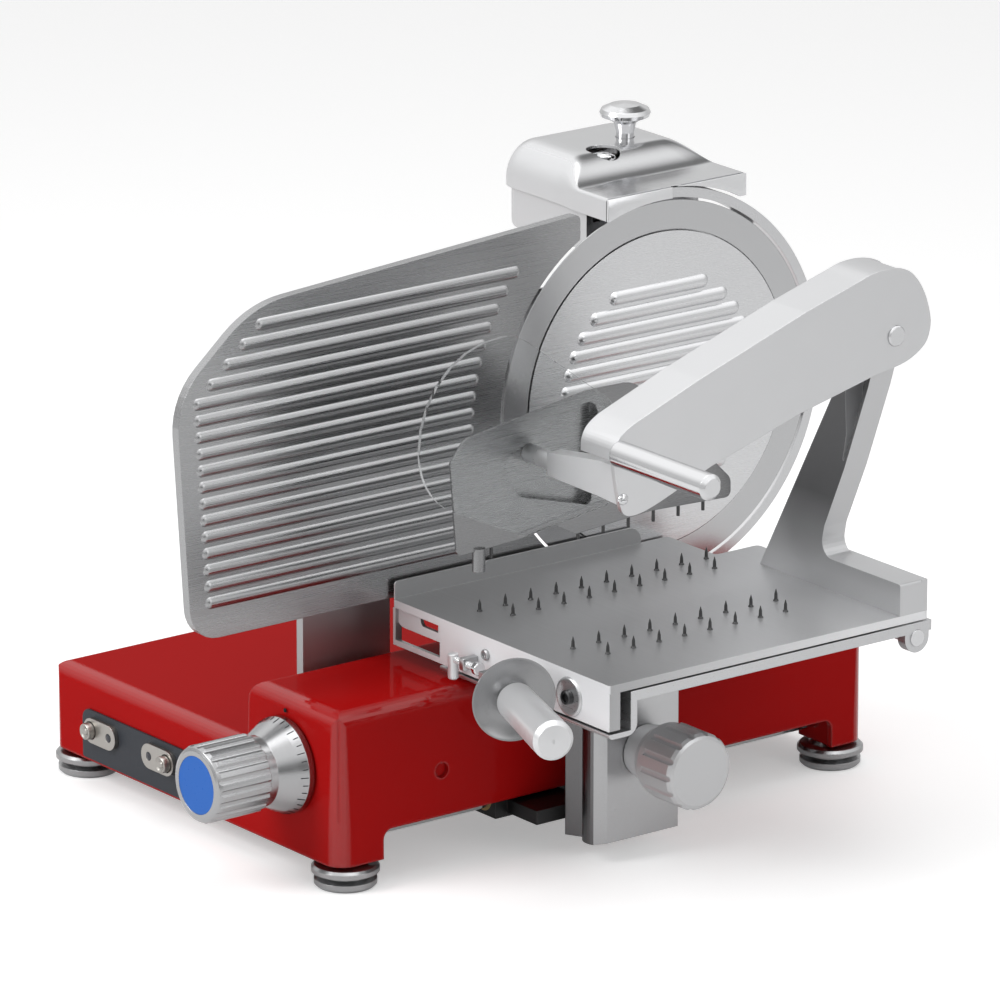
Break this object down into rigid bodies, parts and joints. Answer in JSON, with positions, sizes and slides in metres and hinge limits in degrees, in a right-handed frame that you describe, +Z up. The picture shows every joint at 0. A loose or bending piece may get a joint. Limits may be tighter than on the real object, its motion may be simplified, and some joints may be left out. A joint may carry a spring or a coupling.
{
  "type": "butchers slicer with sliding meat table",
  "caption": "Vertical meat slicer: ring-guarded knife, ribbed gauge plate set by a dial, sliding spiked table with swing-arm press, built-on sharpener",
  "frame": {"origin": "on the floor under the middle of the outside box", "axes": "+X runs from the gauge plate side to the meat table side, +Y away from the operator, +Z up"},
  "size_m": [0.6419, 0.622, 0.511],
  "materials": {
    "base_red": "glossy deep red enamel",
    "foot_metal": "satin",
    "panel_grey": "satin dark grey",
    "bezel": "warm satin nickel",
    "button": "smooth off white",
    "lens": "dark lens",
    "polished": "polished",
    "insert_blue": "smooth blue",
    "steel": "turned",
    "cast_alu": "fine cast and brushed",
    "satin_alu": "satin anodised",
    "blade_steel": "ground and polished",
    "black_plastic": "matt",
    "motor_paint": "semi gloss",
    "belt_rubber": "matt",
    "bronze": "sintered",
    "stone_a": "gritty",
    "stone_b": "fine gritty",
    "clear": "clear sheet"
  },
  "bodies": {
    "base": {"base_casting": "base_red", "feet": "foot_metal", "control_panel": "panel_grey", "switch_bezels": "bezel", "indicator_lenses": "lens", "gauge_rods": "polished", "gauge_rod_lugs": "cast_alu", "hub_bearings": "steel", "blade_support": "cast_alu", "ring_guard": "satin_alu", "blade_cover": "satin_alu", "cover_nut": "black_plastic", "motor_body": "motor_paint", "drive_belt": "belt_rubber", "slice_deflector": "blade_steel", "guide_rod": "polished", "support_bar": "polished", "sharpener_cap": "satin_alu", "sharpener_base": "cast_alu"},
    "start_body": {"start_button": "button"},
    "stop_body": {"stop_button": "button"},
    "dial_body": {"dial_knob": "polished", "dial_insert": "insert_blue", "dial_shaft": "steel", "thickness_cam": "steel"},
    "gauge_body": {"gauge_slide": "cast_alu", "gauge_bracket": "cast_alu", "gauge_plate": "satin_alu"},
    "knife_body": {"blade": "blade_steel", "blade_shaft": "steel", "hub_pulley": "cast_alu"},
    "motor_rotor": {"motor_shaft": "steel"},
    "carriage_body": {"carriage_slider": "cast_alu", "carriage_bushes": "bronze", "carriage_column": "cast_alu", "carriage_head": "cast_alu"},
    "bar_roller_body": {"bar_roller": "black_plastic"},
    "head_roller_body": {"head_roller": "black_plastic"},
    "lock_body": {"lock_knob": "polished"},
    "table_body": {"tray": "blade_steel", "table_support": "satin_alu", "slide_rod": "polished", "table_spikes": "steel", "handle_grip": "polished", "hand_disc": "polished", "handle_bracket": "steel", "lip_fittings": "steel", "post": "cast_alu", "pivot_pin": "polished"},
    "arm_body": {"swing_arm": "satin_alu", "arm_handle": "polished"},
    "press_body": {"press_shaft": "polished", "press_plate": "satin_alu", "press_spikes": "steel", "hand_guard": "clear"},
    "lift_body": {"stone_carrier": "steel", "lift_knob": "polished"},
    "grinding_body": {"grinding_stone": "stone_a"},
    "honing_body": {"honing_stone": "stone_b"},
    "release_body": {"release_pin": "polished"}
  },
  "joints": [
    {"name": "start_press", "type": "slide", "parent": "base", "child": "start_body", "axis": [0, 1, 0], "range_m": [0, 0.003], "stiffness_N_per_m": 400, "springref_m": -0.002},
    {"name": "stop_press", "type": "slide", "parent": "base", "child": "stop_body", "axis": [0, 1, 0], "range_m": [0, 0.003], "stiffness_N_per_m": 400, "springref_m": -0.002},
    {"name": "dial_turn", "type": "hinge", "parent": "base", "child": "dial_body", "pos_m": [-0.004, -0.269, 0.087], "axis": [0, 1, 0], "range_deg": [0, 330]},
    {"name": "gauge_travel", "type": "slide", "parent": "base", "child": "gauge_body", "axis": [-1, 0, 0], "range_m": [0, 0.015]},
    {"name": "knife_spin", "type": "hinge", "parent": "base", "child": "knife_body", "pos_m": [-0.04, 0.151, 0.305], "axis": [1, 0, 0], "continuous": true},
    {"name": "motor_spin", "type": "hinge", "parent": "base", "child": "motor_rotor", "pos_m": [-0.036, 0.151, 0.103], "axis": [1, 0, 0], "continuous": true},
    {"name": "carriage_travel", "type": "slide", "parent": "base", "child": "carriage_body", "axis": [0, 1, 0], "range_m": [-0.12, 0.19]},
    {"name": "bar_roller_spin", "type": "hinge", "parent": "carriage_body", "child": "bar_roller_body", "pos_m": [-0.031, -0.038, 0.0377], "axis": [1, 0, 0], "continuous": true},
    {"name": "head_roller_spin", "type": "hinge", "parent": "carriage_body", "child": "head_roller_body", "pos_m": [0.103, -0.055, 0.1617], "axis": [1, 0, 0], "continuous": true},
    {"name": "lock_turn", "type": "hinge", "parent": "carriage_body", "child": "lock_body", "pos_m": [0.159, 0.012, 0.084], "axis": [1, 0, 0], "range_deg": [0, 180]},
    {"name": "table_slide", "type": "slide", "parent": "carriage_body", "child": "table_body", "axis": [1, 0, 0], "range_m": [0, 0.06]},
    {"name": "arm_swing", "type": "hinge", "parent": "table_body", "child": "arm_body", "pos_m": [0.192, 0.1824, 0.3992], "axis": [1, 0, 0], "range_deg": [-80, 0]},
    {"name": "press_swivel", "type": "hinge", "parent": "arm_body", "child": "press_body", "pos_m": [0.124, -0.062, 0.3205], "axis": [1, 0, 0], "range_deg": [-12, 12]},
    {"name": "stone_lift", "type": "slide", "parent": "base", "child": "lift_body", "axis": [0, 0, -1], "range_m": [0, 0.005], "stiffness_N_per_m": 600, "springref_m": -0.03},
    {"name": "grinding_spin", "type": "hinge", "parent": "lift_body", "child": "grinding_body", "pos_m": [-0.05, 0.115, 0.451], "axis": [1, 0, 0], "continuous": true},
    {"name": "honing_spin", "type": "hinge", "parent": "lift_body", "child": "honing_body", "pos_m": [-0.05, 0.143, 0.451], "axis": [1, 0, 0], "continuous": true},
    {"name": "release_press", "type": "slide", "parent": "base", "child": "release_body", "axis": [0, 0, -1], "range_m": [0, 0.004], "stiffness_N_per_m": 300, "springref_m": -0.004}
  ],
  "couplings": [
    {"joint": "gauge_travel", "follows": "dial_turn", "m_per_rad": 0.0026043},
    {"joint": "motor_spin", "follows": "knife_spin", "ratio": 1.6667}
  ]
}
